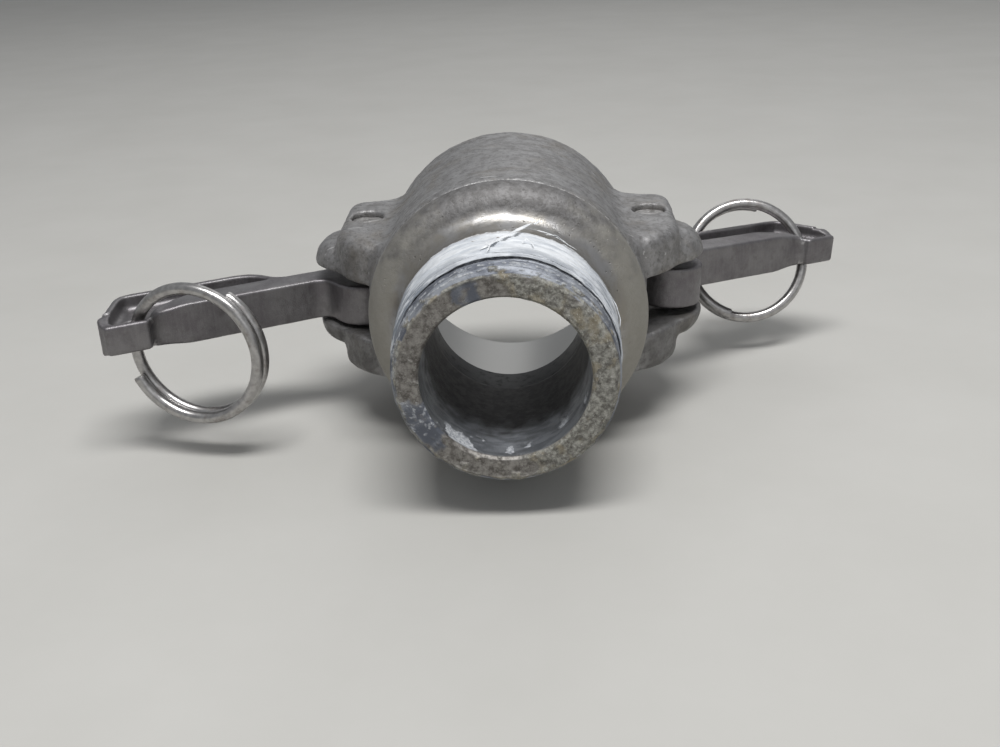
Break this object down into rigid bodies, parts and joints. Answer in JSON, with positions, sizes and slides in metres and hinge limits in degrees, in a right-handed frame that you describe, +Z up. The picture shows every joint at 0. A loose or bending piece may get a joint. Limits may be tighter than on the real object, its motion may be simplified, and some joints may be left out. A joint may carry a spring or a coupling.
{
  "type": "camlock coupling",
  "caption": "Cam and groove hose coupler: a socket with swinging cam arms and pull rings on one end, a male taper pipe thread on the other.",
  "frame": {"origin": "centre of the socket mouth, on the coupler's axis", "axes": "+Y along the coupler's axis, out of the socket; +Z up, along the hinge pins, as the coupler lies on its side; +X to the right seen from the thread end"},
  "size_m": [0.1285, 0.0752, 0.045],
  "materials": {
    "cast_steel": "investment cast stainless steel, sand-textured, machined at the thread end",
    "gasket_rubber": "black nitrile rubber",
    "seal_tape": "white thread sealing tape",
    "pin_steel": "drawn stainless rod",
    "arm_steel": "satin cast stainless steel with worn bright edges",
    "ring_wire": "polished spring wire"
  },
  "bodies": {
    "coupler": {"coupler_body": "cast_steel", "gasket": "gasket_rubber", "thread_seal_tape": "seal_tape", "left_hinge_pin": "pin_steel", "right_hinge_pin": "pin_steel"},
    "left_arm": {"left_cam_arm": "arm_steel"},
    "right_arm": {"right_cam_arm": "arm_steel"},
    "left_ring": {"left_pull_ring": "ring_wire"},
    "right_ring": {"right_pull_ring": "ring_wire"}
  },
  "joints": [
    {"name": "left_arm_swing", "type": "hinge", "parent": "coupler", "child": "left_arm", "pos_m": [-0.024, -0.018, 0], "axis": [0, 0, -1], "range_deg": [-36, 66]},
    {"name": "right_arm_swing", "type": "hinge", "parent": "coupler", "child": "right_arm", "pos_m": [0.024, -0.018, 0], "axis": [0, 0, 1], "range_deg": [-125, 3]},
    {"name": "left_ring_swing", "type": "hinge", "parent": "left_arm", "child": "left_ring", "pos_m": [-0.06074, -0.03538, -0.0008], "axis": [0, 0, -1], "range_deg": [-26, 279]},
    {"name": "right_ring_swing", "type": "hinge", "parent": "right_arm", "child": "right_ring", "pos_m": [0.05607, 0.00678, -0.00304], "axis": [0.0614, 0.043, 0.9972], "range_deg": [-152, 0]}
  ]
}
